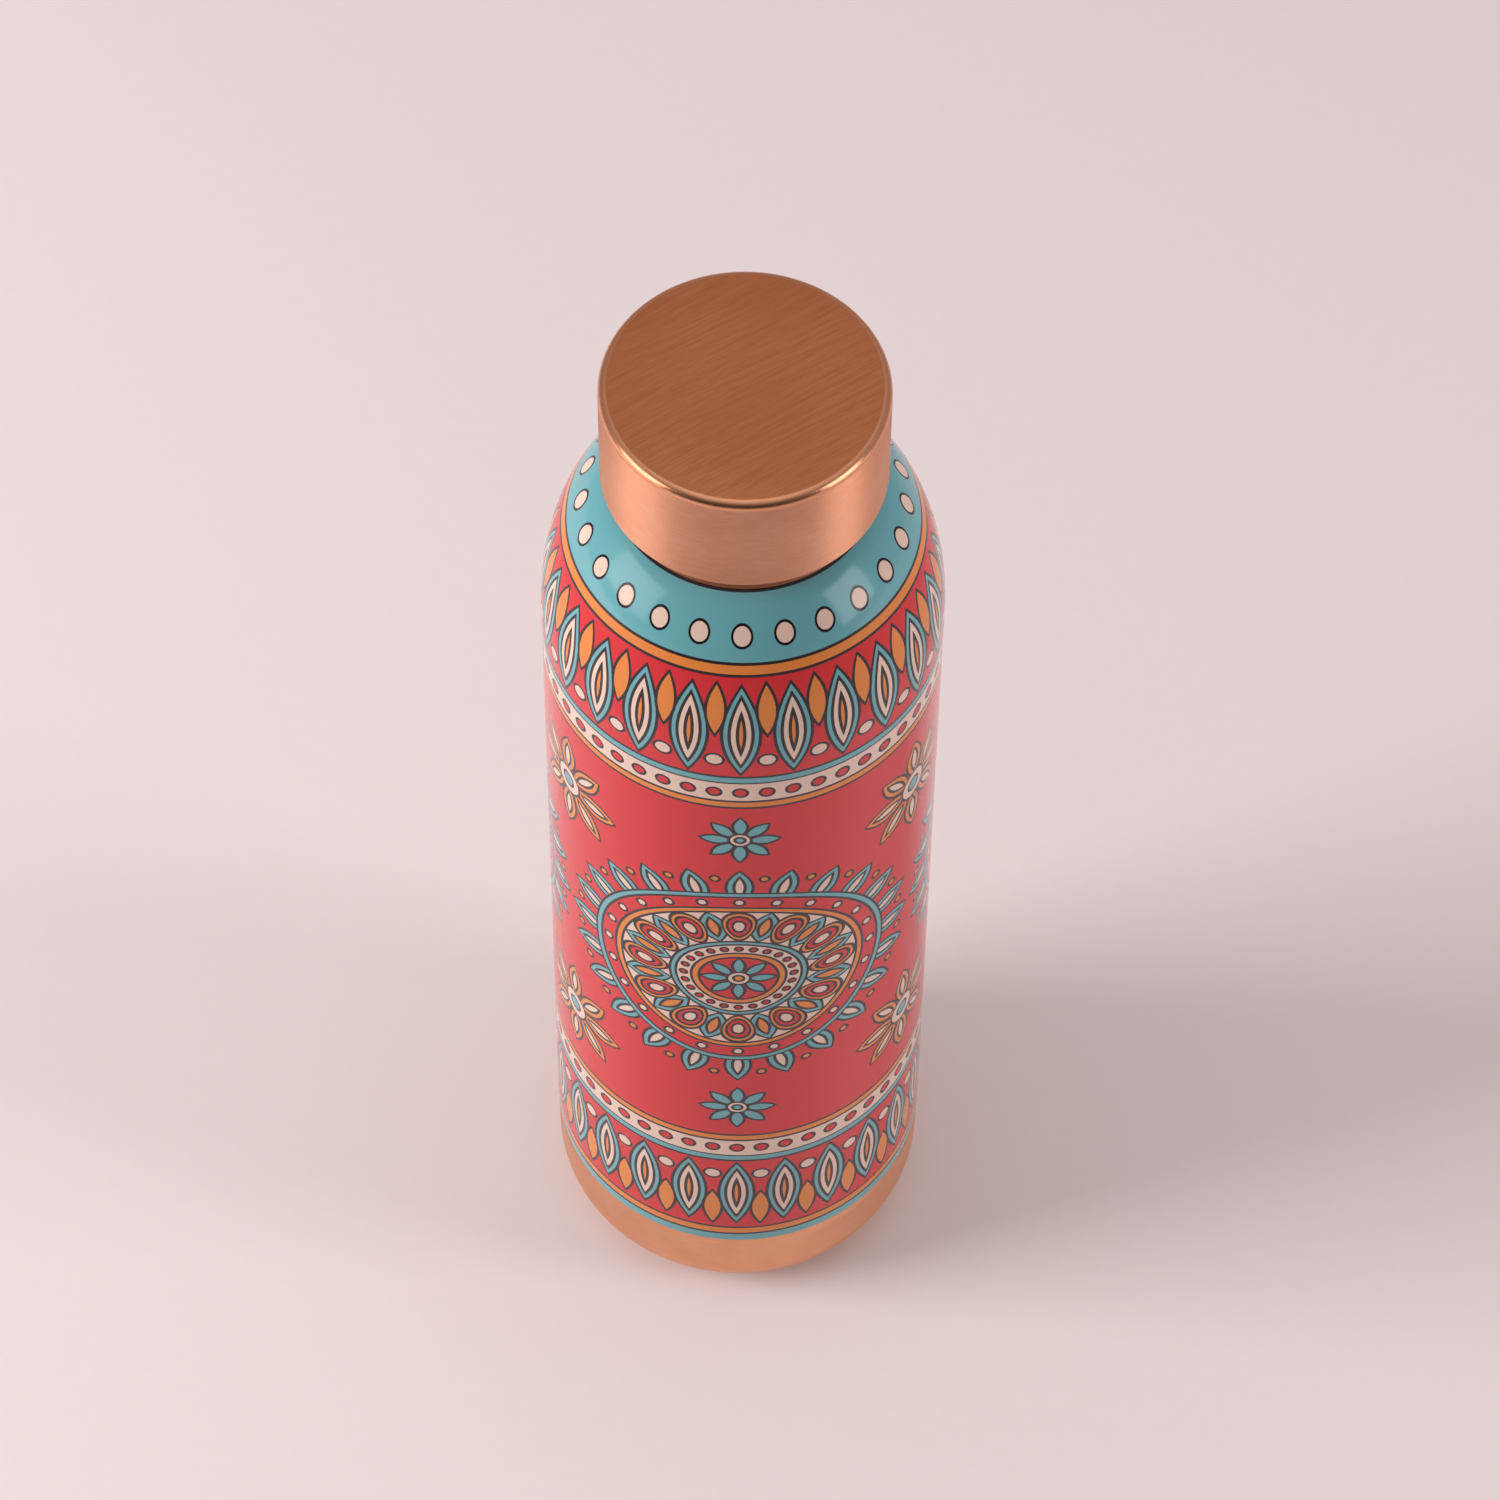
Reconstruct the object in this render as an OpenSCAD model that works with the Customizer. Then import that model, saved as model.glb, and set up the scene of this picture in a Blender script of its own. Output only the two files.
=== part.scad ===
// Printed copper water bottle with a screw cap.
// It stands on z = 0 with its axis on Z. All sizes are in millimetres.

/* [Body] */
// Outer diameter over the printed film
body_d = 73; // [68:0.5:78]
// Height of the bottle with its cap screwed down
total_h = 262; // [258:0.5:268]
// Thickness of the copper sheet
wall = 0.7; // [0.6:0.05:1.2]
// Height where the straight wall turns into the shoulder
shoulder_z = 198; // [190:0.5:199]
// Height of the shoulder's quarter ellipse
shoulder_rise = 36.5; // [34:0.5:37]

/* [Base] */
// Radius of the rounded bottom corner
base_corner_r = 13; // [8:0.5:16]
// Width of the ring that the bottle stands on
foot_w = 2.4; // [2:0.1:4]
// Height of the pressed recess under the base
base_recess = 3.8; // [2.5:0.1:5]
// Height of the joint between the base cup and the body
seam_z = 27; // [26:0.5:32]
// Length of the base cup's rim inside the body
lap = 5; // [3:0.5:8]

/* [Printed film] */
// Thickness of the printed and lacquered film
film_t = 0.15; // [0.1:0.05:0.3]
// Height of the film's lower edge
film_z = 23.8; // [20:0.1:25]

/* [Neck] */
// Bore of the threaded neck ring
neck_bore_d = 36; // [34:0.5:36]
// Root diameter of the neck's outside thread
neck_root_d = 39.6; // [39:0.1:40]
// Height of the mouth's lip
lip_z = 257.9; // [257:0.1:258]
// Height of the collar that seats on the shoulder
collar_h = 3; // [2:0.1:3.5]

/* [Screw thread] */
// Rise of the thread in one turn
pitch = 4; // [4:0.1:4.2]
// How far the thread stands out from its root
thread_h = 1.2; // [0.9:0.05:1.3]
// Turns of thread on the neck
neck_turns = 2.75; // [2:0.25:2.75]
// Turns of thread in the cap
cap_turns = 2.5; // [1.5:0.25:2.5]
// Radial gap between a thread's crest and the root it faces
thread_gap = 0.4; // [0.35:0.05:0.5]

/* [Cap] */
// Outer diameter of the cap
cap_d = 51; // [50:0.1:54]
// Height of the cap
cap_h = 23.8; // [23:0.1:24]
// Radius of the cap's top edge
cap_edge_r = 1.6; // [1.2:0.1:2.2]
// Thickness of the cap's drawn sheet
cap_wall = 0.7; // [0.6:0.05:1]
// Thickness of the disc under the cap's top
disc_t = 0.8; // [0.6:0.1:1.2]
// Diameter of the disc's boss, which the gasket is stretched over
boss_d = 32; // [28:0.5:33]

/* [Hidden] */

ROUND = 96;          // facets of a round part in a preview
SHOULDER_STEP = 3;   // degrees between two points of the shoulder's outline
FILM_END = 75;       // shoulder angle where the film stops
BRAZE_END = 78;      // shoulder angle where the neck's braze stops
ARC_STEPS = 12;      // points along a quarter round
SPIN_STEPS = 40;     // thread segments in one turn
EMBED = 0.3;         // how deep a thread is rooted in its wall
COPPER = "#c98b6c";
BRAZE = "#d9b26a";

shell_r = body_d / 2 - film_t;           // outside of the copper wall
bore_r = neck_bore_d / 2;                // outside of the body's own spigot, too
spigot_z = shoulder_z + shoulder_rise;   // where the spigot leaves the shoulder
spigot_h = 9.5;                          // length of the spigot in the neck ring
foot_r = shell_r - base_corner_r;        // outer edge of the standing ring
dish_slope = 2;                          // width of the slope round the recess
rim_r = shell_r - wall;                  // outside of the cup's rim, inside of the body
collar_w = 3;                            // collar's width, from the bore
collar_r = bore_r + collar_w;
collar_cone = 0.6;                       // height of the cone above the collar
fillet = 0.8;                            // leg of the filler metal round the collar
root_r = neck_root_d / 2;
crest_r = root_r + thread_h;
lip_r = 0.6;                             // rounding of the lip's edges
sleeve_root_r = crest_r + thread_gap;
sleeve_wall = 0.9;
sleeve_out_r = sleeve_root_r + sleeve_wall;
flange_t = 1;                            // thickness of the sleeve's two flanges
skirt_lip = 1;                           // how far the skirt hangs below the sleeve
sleeve_z = total_h - cap_h + skirt_lip;  // underside of the sleeve's lower flange
cap_fillet_w = 0.6;                      // width of the filler metal in the cap
cap_fillet_h = 0.5;                      // height of the filler metal in the cap
cap_in_r = cap_d / 2 - cap_wall;         // inside of the cap's skirt
lid_z = total_h - cap_wall;              // underside of the cap's top
disc_z = lid_z - disc_t;                 // top of the gasket
disc_overlap = 2.1;                      // how far the disc covers the sleeve's top
disc_r = sleeve_root_r + disc_overlap;
gasket_gap = 0.5;                        // room round the gasket, inside the sleeve
boss_drop = 1.5;                         // how far the disc's boss reaches into the gasket
thread_start = 8;                        // height of the thread's start over the spigot's foot
neck_thread_z = spigot_z + thread_start; // middle of the neck thread where it starts
thread_base_w = 2;                       // thread's width at its root
thread_crest_w = 0.8;                    // thread's width at its crest

// Point of the shoulder at an angle, moved outwards by a thickness.
function shoulder_point(a, out) =
    let (rx = shell_r - bore_r, rz = shoulder_rise,
         n = [rz * cos(a), rx * sin(a)])
    [bore_r + rx * cos(a), shoulder_z + rz * sin(a)] + out * n / norm(n);

// Outline of the shoulder from one angle to another.
function shoulder(from, to, out) =
    [for (a = [from : (to > from ? 1 : -1) * SHOULDER_STEP : to]) shoulder_point(a, out)];

// Points of an arc about a centre.
function arc(c, r, from, to) =
    [for (i = [0 : ARC_STEPS]) let (a = from + (to - from) * i / ARC_STEPS) c + r * [cos(a), sin(a)]];

// Solid of revolution about Z from an outline of [radius, height] points.
module turned(points) {
    rotate_extrude($fn = ROUND) polygon(points);
}

// One section of a thread: root, crest, crest, root. side is 1 outside a wall and -1 inside it.
function thread_section(i, n, root, z, side) =
    let (a = 360 * i / SPIN_STEPS,
         run = SPIN_STEPS / 6,
         grow = min(1, i / run, (n - i) / run),
         base = root - side * EMBED,
         crest = root + side * (thread_h * grow - EMBED / 2 * (1 - grow)),
         mid = z + pitch * a / 360,
         base_w = thread_base_w + (thread_base_w - thread_crest_w) * EMBED / thread_h)
    [for (p = [[base, -base_w], [crest, -thread_crest_w], [crest, thread_crest_w], [base, base_w]])
        [p[0] * cos(a), p[0] * sin(a), mid + side * p[1] / 2]];

// Right-handed trapezoid thread that fades into the wall at both ends.
module thread(root, z, turns, side) {
    n = round(turns * SPIN_STEPS);
    points = [for (i = [0 : n]) each thread_section(i, n, root, z, side)];
    sides = [for (i = [0 : n - 1], j = [0 : 3])
        let (a = 4 * i + j, b = 4 * i + (j + 1) % 4) each [[a, b, b + 4], [a, b + 4, a + 4]]];
    polyhedron(points, concat(sides, [[2, 1, 0], [3, 2, 0]],
        [[4 * n, 4 * n + 1, 4 * n + 2], [4 * n, 4 * n + 2, 4 * n + 3]]));
}

// Drawn copper wall with its shoulder and the spigot that the neck ring slips over.
module body_shell() {
    spigot_top = spigot_z + spigot_h;
    color(COPPER) turned(concat(
        [[rim_r, seam_z], [shell_r, seam_z]],
        shoulder(0, 90, 0),
        [[bore_r, spigot_top], [bore_r - wall, spigot_top], [bore_r - wall, spigot_z - wall]],
        shoulder(90, 0, -wall)));
}

// Pressed base with its rounded corner, standing ring, recess and inner rim.
module base_cup() {
    corner = [foot_r, base_corner_r];
    dish_r = foot_r - foot_w;
    color(COPPER) turned(concat(
        arc(corner, base_corner_r, -90, 0),
        [[shell_r, seam_z], [rim_r, seam_z], [rim_r, seam_z + lap], [rim_r - wall, seam_z + lap],
         [rim_r - wall, seam_z - wall / 2], [rim_r, seam_z - 2 * wall]],
        arc(corner, base_corner_r - wall, 0, -90),
        [[dish_r + wall / 2, wall], [dish_r - dish_slope, base_recess], [0, base_recess + wall],
         [0, base_recess], [dish_r - dish_slope, base_recess - wall], [dish_r, 0]]));
}

// Fillet of filler metal at the top of the base cup's rim, inside the bottle.
module base_braze() {
    z = seam_z + lap;
    color(BRAZE) turned([[rim_r, z], [rim_r, z + wall], [rim_r - 0.8 * wall, z]]);
}

// Turned ring with the outside thread, the seating collar and the mouth's lip.
module neck_ring() {
    color(COPPER) union() {
        turned(concat(
            [[bore_r, spigot_z], [collar_r, spigot_z], [collar_r, spigot_z + collar_h],
             [root_r, spigot_z + collar_h + collar_cone]],
            arc([root_r - lip_r, lip_z - lip_r], lip_r, 0, 90),
            arc([bore_r + lip_r, lip_z - lip_r], lip_r, 90, 180)));
        thread(root_r, neck_thread_z, neck_turns, 1);
    }
}

// Filler metal under the collar, with a small fillet round its edge.
module neck_braze() {
    color(BRAZE) turned(concat(
        shoulder(BRAZE_END, 90, 0),
        [[collar_r, spigot_z], [collar_r, spigot_z + fillet]]));
}

// Printed, lacquered film round the wall and over the shoulder.
module print_film() {
    color("#b5323c") turned(concat(
        [[shell_r, film_z], [shell_r + film_t, film_z]],
        shoulder(0, FILM_END, film_t),
        shoulder(FILM_END, 0, 0)));
}

// Drawn cap with a flat top and a rounded edge.
module cap_shell() {
    r = cap_d / 2;
    in_edge = cap_edge_r - cap_wall;
    color(COPPER) turned(concat(
        [[cap_in_r, total_h - cap_h], [r, total_h - cap_h]],
        arc([r - cap_edge_r, total_h - cap_edge_r], cap_edge_r, 0, 90),
        [[0, total_h], [0, lid_z]],
        arc([cap_in_r - in_edge, lid_z - in_edge], in_edge, 90, 0)));
}

// Sleeve with the inside thread, flanged at both ends to fill the cap's skirt.
module cap_thread_sleeve() {
    top = disc_z - thread_gap;
    color(COPPER) union() {
        turned([[sleeve_root_r, sleeve_z], [cap_in_r, sleeve_z],
                [cap_in_r, sleeve_z + flange_t], [sleeve_out_r, sleeve_z + flange_t],
                [sleeve_out_r, top - flange_t], [cap_in_r, top - flange_t],
                [cap_in_r, top], [sleeve_root_r, top]]);
        thread(sleeve_root_r, neck_thread_z - pitch / 2, cap_turns, -1);
    }
}

// Fillet of filler metal between the sleeve's lower flange and the cap's skirt.
module cap_braze() {
    color(BRAZE) turned([[cap_in_r - cap_fillet_w, sleeve_z], [cap_in_r, sleeve_z - cap_fillet_h],
                         [cap_in_r, sleeve_z]]);
}

// Disc that closes the mouth under the cap's top, with the boss that holds the gasket.
module cap_disc() {
    color(COPPER) turned([[0, disc_z - boss_drop], [boss_d / 2, disc_z - boss_drop],
                          [boss_d / 2, disc_z], [disc_r, disc_z], [disc_r, lid_z], [0, lid_z]]);
}

// Silicone ring between the disc and the lip.
module gasket() {
    out_r = sleeve_root_r - gasket_gap;
    color("#e9e4da") turned([[boss_d / 2, lip_z], [out_r, lip_z], [out_r, disc_z], [boss_d / 2, disc_z]]);
}

body_shell();
base_cup();
base_braze();
neck_ring();
neck_braze();
print_film();
cap_shell();
cap_thread_sleeve();
cap_braze();
cap_disc();
gasket();
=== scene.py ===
"""Visual model of a printed copper water bottle with a screw cap."""
import logging
import math
from dataclasses import dataclass, field
from enum import Enum
from typing import Any, Sequence

import bpy
from mathutils import Matrix, Vector


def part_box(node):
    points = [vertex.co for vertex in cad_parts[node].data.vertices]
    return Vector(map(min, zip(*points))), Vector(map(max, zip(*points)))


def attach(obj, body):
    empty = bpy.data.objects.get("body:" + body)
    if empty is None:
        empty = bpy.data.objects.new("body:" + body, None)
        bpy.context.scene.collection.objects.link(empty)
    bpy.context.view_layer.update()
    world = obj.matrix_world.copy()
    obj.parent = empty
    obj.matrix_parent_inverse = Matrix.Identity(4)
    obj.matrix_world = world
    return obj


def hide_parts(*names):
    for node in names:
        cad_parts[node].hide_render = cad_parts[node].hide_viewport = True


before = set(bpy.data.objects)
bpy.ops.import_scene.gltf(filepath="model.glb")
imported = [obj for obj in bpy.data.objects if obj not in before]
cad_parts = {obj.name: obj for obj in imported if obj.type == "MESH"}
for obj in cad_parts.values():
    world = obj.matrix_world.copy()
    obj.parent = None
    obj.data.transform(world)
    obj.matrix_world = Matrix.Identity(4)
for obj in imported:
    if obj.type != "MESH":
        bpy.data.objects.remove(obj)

logging.basicConfig(level=logging.INFO, format="%(message)s")
LOG = logging.getLogger("bottle")

MM = 0.001
TURN = 2 * math.pi
CREASE = math.radians(32.0)
Rgb = tuple[float, float, float]
Point = tuple[float, float, float]
Outline = list[tuple[float, float]]
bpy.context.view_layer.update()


class Body(Enum):
    """Moving bodies of the frame."""

    BOTTLE = "bottle"
    CAP_SEAL = "cap_seal"
    CAP = "cap"


class Slot(Enum):
    """Material slots of the record."""

    COPPER_BODY = "copper_body"
    COPPER_BASE = "copper_base"
    COPPER_NECK = "copper_neck"
    COPPER_CAP = "copper_cap"
    COPPER_DISC = "copper_disc"
    FILLER = "filler"
    PRINTED_FILM = "printed_film"
    SILICONE = "silicone"


# ---------------------------------------------------------------- shader maths


class Value:
    """A number that varies over a surface. Arithmetic on it adds Math nodes."""

    def __init__(self, tree: "Tree", socket: bpy.types.NodeSocket) -> None:
        """Keeps the tree and the output socket that carries the number."""
        self.tree = tree
        self.socket = socket

    def math(self, operation: str, *terms: "Value | float", clamp: bool = False) -> "Value":
        """Adds one Math node that starts from this number.

        Args:
            operation: the Math node's operation.
            terms: its second and third inputs.
            clamp: True to keep the result between 0 and 1.

        Returns:
            The node's result.
        """
        return self.tree.math(operation, self, *terms, clamp=clamp)

    def __add__(self, other: "Value | float") -> "Value":
        """Sum."""
        return self.math("ADD", other)

    def __radd__(self, other: float) -> "Value":
        """Sum with a number on the left."""
        return self.math("ADD", other)

    def __sub__(self, other: "Value | float") -> "Value":
        """Difference."""
        return self.math("SUBTRACT", other)

    def __rsub__(self, other: float) -> "Value":
        """Difference from a number on the left."""
        return self.tree.math("SUBTRACT", other, self)

    def __mul__(self, other: "Value | float") -> "Value":
        """Product."""
        return self.math("MULTIPLY", other)

    def __rmul__(self, other: float) -> "Value":
        """Product with a number on the left."""
        return self.math("MULTIPLY", other)

    def __truediv__(self, other: "Value | float") -> "Value":
        """Quotient."""
        return self.math("DIVIDE", other)

    def __rtruediv__(self, other: float) -> "Value":
        """Quotient of a number on the left."""
        return self.tree.math("DIVIDE", other, self)

    def __neg__(self) -> "Value":
        """Opposite."""
        return self.math("MULTIPLY", -1.0)

    def __abs__(self) -> "Value":
        """Absolute value."""
        return self.math("ABSOLUTE")

    def at_most(self, other: "Value | float") -> "Value":
        """The smaller of this and another number."""
        return self.math("MINIMUM", other)

    def below(self, other: "Value | float") -> "Value":
        """1 where this is less than the other number, or else 0."""
        return self.math("LESS_THAN", other)

    def above(self, other: "Value | float") -> "Value":
        """1 where this is more than the other number, or else 0."""
        return self.math("GREATER_THAN", other)

    def wrapped(self, half: float) -> "Value":
        """Folded by whole periods into the range from -half to half."""
        return self.math("WRAP", half, -half)

    def share(self, low: float, high: float) -> "Value":
        """Rises from 0 to 1 as this goes from low to high."""
        slope = 1 / (high - low)
        return self.math("MULTIPLY_ADD", slope, -low * slope, clamp=True)


class Tree:
    """Node tree of one material, or of the world."""

    def __init__(self, name: str, world: bool = False) -> None:
        """Makes the material, or the world, and clears its nodes."""
        self.owner = (bpy.data.worlds if world else bpy.data.materials).new(name)
        self.owner.use_nodes = True
        self.nodes = self.owner.node_tree.nodes
        self.links = self.owner.node_tree.links
        self.nodes.clear()

    def node(self, kind: str, settings: dict[str, Any] | None = None,
             sockets: dict[Any, Any] | None = None) -> bpy.types.Node:
        """Adds a node.

        Args:
            kind: the node's type without its "ShaderNode" prefix.
            settings: properties to set first; "stops" gives a ramp's (place, colour) stops.
            sockets: a value, a Value or an output socket for each input, by name or index.

        Returns:
            The node.
        """
        made = self.nodes.new("ShaderNode" + kind)
        for key, setting in (settings or {}).items():
            if key == "stops":
                self.set_stops(made.color_ramp, setting)
            else:
                setattr(made, key, setting)
        for key, given in (sockets or {}).items():
            target = made.inputs[key]
            if isinstance(given, Value):
                self.links.new(given.socket, target)
            elif isinstance(given, bpy.types.NodeSocket):
                self.links.new(given, target)
            else:
                target.default_value = given
        return made

    @staticmethod
    def set_stops(ramp: bpy.types.ColorRamp, stops: Sequence[tuple[float, Rgb]]) -> None:
        """Gives a ramp its stops, which rise in place."""
        while len(ramp.elements) < len(stops):
            ramp.elements.new(1.0)
        for element, (place, colour) in zip(ramp.elements, stops):
            element.position = place
            element.color = (*colour, 1.0)

    def math(self, operation: str, *terms: "Value | float", clamp: bool = False) -> Value:
        """Adds a Math node and returns its result."""
        made = self.node("Math", {"operation": operation, "use_clamp": clamp}, dict(enumerate(terms)))
        return Value(self, made.outputs[0])

    def parts(self, vector: bpy.types.NodeSocket) -> tuple[Value, Value, Value]:
        """Splits a vector into its three numbers."""
        split = self.node("SeparateXYZ", None, {0: vector})
        return tuple(Value(self, out) for out in split.outputs)

    def vector(self, x: Value | float, y: Value | float, z: Value | float) -> bpy.types.NodeSocket:
        """Joins three numbers into a vector."""
        return self.node("CombineXYZ", None, {0: x, 1: y, 2: z}).outputs[0]

    def place(self) -> bpy.types.NodeSocket:
        """Object coordinates, in metres."""
        return self.node("TexCoord").outputs["Object"]

    def noise(self, vector: bpy.types.NodeSocket, scale: float, detail: float = 2.0,
              roughness: float = 0.5) -> Value:
        """Adds a noise texture and returns its value, about 0.5."""
        made = self.node("TexNoise", {"noise_dimensions": "3D"},
                         {"Vector": vector, "Scale": scale, "Detail": detail, "Roughness": roughness})
        return Value(self, made.outputs["Fac"])

    def stretched(self, vector: bpy.types.NodeSocket, scale: Rgb,
                  turn: Rgb = (0, 0, 0)) -> bpy.types.NodeSocket:
        """Turns coordinates, then scales them along each axis."""
        turned = self.node("Mapping", {"vector_type": "POINT"}, {"Vector": vector, "Rotation": turn})
        return self.node("Mapping", {"vector_type": "POINT"},
                         {"Vector": turned.outputs[0], "Scale": scale}).outputs[0]

    def blend(self, low: Any, high: Any, share: Value | float) -> bpy.types.NodeSocket:
        """Mixes two colours.

        Args:
            low: colour or socket shown where share is 0.
            high: colour or socket shown where share is 1.
            share: how much of the second.

        Returns:
            The mixed colour's socket.
        """
        ends = [(*given, 1.0) if isinstance(given, tuple) else given for given in (low, high)]
        made = self.node("Mix", {"data_type": "RGBA"}, {0: share, 6: ends[0], 7: ends[1]})
        return made.outputs[2]

    def bump(self, height: Value, distance: float) -> bpy.types.NodeSocket:
        """Turns a height from 0 to 1 into a normal. distance is the height of 1, in metres."""
        return self.node("Bump", None, {"Height": height, "Distance": distance, "Strength": 1.0}).outputs[0]

    def finish(self, sockets: dict[str, Any]) -> bpy.types.Material:
        """Adds the surface shader and the output, and returns the material."""
        shader = self.node("BsdfPrincipled", None, sockets)
        self.node("OutputMaterial", None, {"Surface": shader.outputs[0]})
        return self.owner


class Paint:
    """Colour built up in layers, each over the last."""

    def __init__(self, tree: Tree, ground: Any) -> None:
        """Starts from a ground colour or socket."""
        self.tree = tree
        self.colour = ground

    def lay(self, colour: Any, mask: Value) -> None:
        """Lays a colour over what is there, where the mask is 1."""
        self.colour = self.tree.blend(self.colour, colour, mask)

    def bands(self, reach: Value, low: float, high: float, stops: Sequence[tuple[float, Rgb]],
              mask: Value) -> None:
        """Lays flat bands of colour that change with one number.

        Args:
            reach: the number that the bands follow.
            low: where the first band starts.
            high: where the last one ends.
            stops: (number, colour) pairs, each the start of a band.
            mask: where to lay them.
        """
        placed = [((at - low) / (high - low), colour) for at, colour in stops]
        ramp = self.tree.node("ValToRGB", {"stops": placed}, {0: reach.share(low, high)})
        ramp.color_ramp.interpolation = "CONSTANT"
        self.lay(ramp.outputs[0], mask)


# ---------------------------------------------------------------- finishes


@dataclass(frozen=True)
class Inks:
    """Colours of the print, in linear light."""

    red: Rgb = (0.62, 0.010, 0.018)
    teal: Rgb = (0.135, 0.385, 0.43)
    orange: Rgb = (0.72, 0.22, 0.035)
    cream: Rgb = (0.76, 0.56, 0.46)
    line: Rgb = (0.014, 0.006, 0.010)


@dataclass(frozen=True)
class PrintedFilm:
    """Gloss film printed with plain folk ornament. Its sizes are in millimetres.

    Three twelve-petalled flowers stand round the bottle, with large rosettes between them and small
    ones over and under them. The same border of dots and leaves runs round the shoulder and the foot.
    """

    girth: float
    inks: Inks = field(default_factory=Inks)
    flowers: int = 3
    petals: int = 12
    border_leaves: int = 24
    middle: float = 125.0
    flower_edge: float = 30.0
    border_start: float = 59.0
    line: float = 0.55

    def build(self) -> bpy.types.Material:
        """Makes the film's material."""
        tree = Tree("printed_film")
        along, height, _ = tree.parts(tree.node("UVMap", {"uv_map": "wrap"}).outputs[0])
        half = self.girth / (2 * self.flowers)
        x = abs(along.wrapped(half))
        y = abs(height - self.middle)
        paint = Paint(tree, self.inks.red)
        self.rosette(paint, half - x, y - 40.0, 1.0, [(0.0, self.inks.orange), (1.3, self.inks.cream)])
        self.rosette(paint, x, y - 48.2, 0.55, [(0.0, self.inks.teal)])
        radius = (x * x + y * y).math("SQRT")
        angle = tree.math("ARCTAN2", x, y)
        self.fringe(paint, radius, angle)
        self.petal_ring(paint, radius, angle)
        self.heart(paint, radius, angle)
        self.border(paint, along, y)
        grain = tree.noise(tree.place(), 900.0, 3.0)
        wave = tree.noise(tree.place(), 90.0, 1.0)
        tone = (0.94 + grain * 0.12).at_most(1.0)
        return tree.finish({
            "Base Color": tree.blend((0, 0, 0), paint.colour, tone),
            "Roughness": 0.14 + grain * 0.06,
            "IOR": 1.45,
            "Specular IOR Level": 0.32,
            "Coat Weight": 0.25,
            "Coat Roughness": 0.06,
            "Normal": tree.bump(wave * 0.9 + grain * 0.1, 0.00004),
        })

    def sector(self, radius: Value, angle: Value, count: int,
               between: bool = False) -> tuple[Value, Value]:
        """Folds a flower into one of its equal sectors.

        Args:
            radius: distance from the flower's centre.
            angle: angle from its upright axis.
            count: how many sectors there are.
            between: True to centre the sector between two axes.

        Returns:
            The distance from the sector's middle line, never negative, and the distance along it.
        """
        half = math.pi / count
        turned = (angle + half if between else angle).wrapped(half)
        return abs(radius * turned.math("SINE")), radius * turned.math("COSINE")

    def nested(self, paint: Paint, reach: Value, depth: float, fills: Sequence[tuple[float, Rgb]]) -> None:
        """Lays a shape with outlined bands inside it.

        Args:
            paint: the layers to add to.
            reach: signed distance, negative inside the shape.
            depth: how deep the bands go.
            fills: (depth where the band starts, colour), from the edge inwards.
        """
        half = self.line / 2
        stops: list[tuple[float, Rgb]] = []
        for number, (start, colour) in enumerate(reversed(fills)):
            stops.append((-depth if number == 0 else stops[-1][0] + self.line, colour))
            stops.append((-start - half, self.inks.line))
        soft = 0.04
        paint.bands(reach, -depth, half, stops, reach.share(half + soft, half - soft))

    def hoops(self, paint: Paint, reach: Value, start: float, fills: Sequence[tuple[float, Rgb]],
              mask: Value) -> None:
        """Lays touching bands with an outline before each and after the last.

        Args:
            paint: the layers to add to.
            reach: the distance that the bands follow.
            start: where the first band starts.
            fills: (distance where the band ends, colour), in order.
            mask: where to lay them.
        """
        half = self.line / 2
        low = start - half
        stops: list[tuple[float, Rgb]] = [(low, self.inks.line)]
        for end, colour in fills:
            stops += [(start + half, colour), (end - half, self.inks.line)]
            start = end
        paint.bands(reach, low, start + half, stops, mask)

    @staticmethod
    def circle(across: Value, along: Value, centre: float, size: float) -> Value:
        """Signed distance from a circle on a sector's middle line."""
        up = along - centre
        return (across * across + up * up).math("SQRT") - size

    @staticmethod
    def leaf(across: Value, along: Value, centre: float, length: float, width: float) -> Value:
        """Signed distance from a leaf pointed at both ends, from its half length and half width."""
        share = (along - centre) / length
        return (across + (share * share - 1.0) * width) * 0.88

    def heart(self, paint: Paint, radius: Value, angle: Value) -> None:
        """Lays the middle dot, the daisy and the dotted ring round it."""
        inks, half = self.inks, self.line / 2
        rings = [(9.0, inks.orange), (12.0, inks.cream), (13.2, inks.teal)]
        paint.lay(inks.red, radius.below(7.5))
        self.hoops(paint, radius, 7.5, rings, radius.below(13.2 + half) * radius.above(7.5 - half))
        across, along = self.sector(radius, angle, 2 * self.petals)
        self.nested(paint, self.circle(across, along, 10.5, 0.7), 0.7, [(0.0, inks.red)])
        across, along = self.sector(radius, angle, 8)
        self.nested(paint, self.leaf(across, along, 4.4, 2.8, 1.2), 1.2, [(0.0, inks.teal)])
        self.hoops(paint, radius, -1.0, [(1.0, inks.orange), (2.2, inks.cream)], radius.below(2.2 + half))

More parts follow.
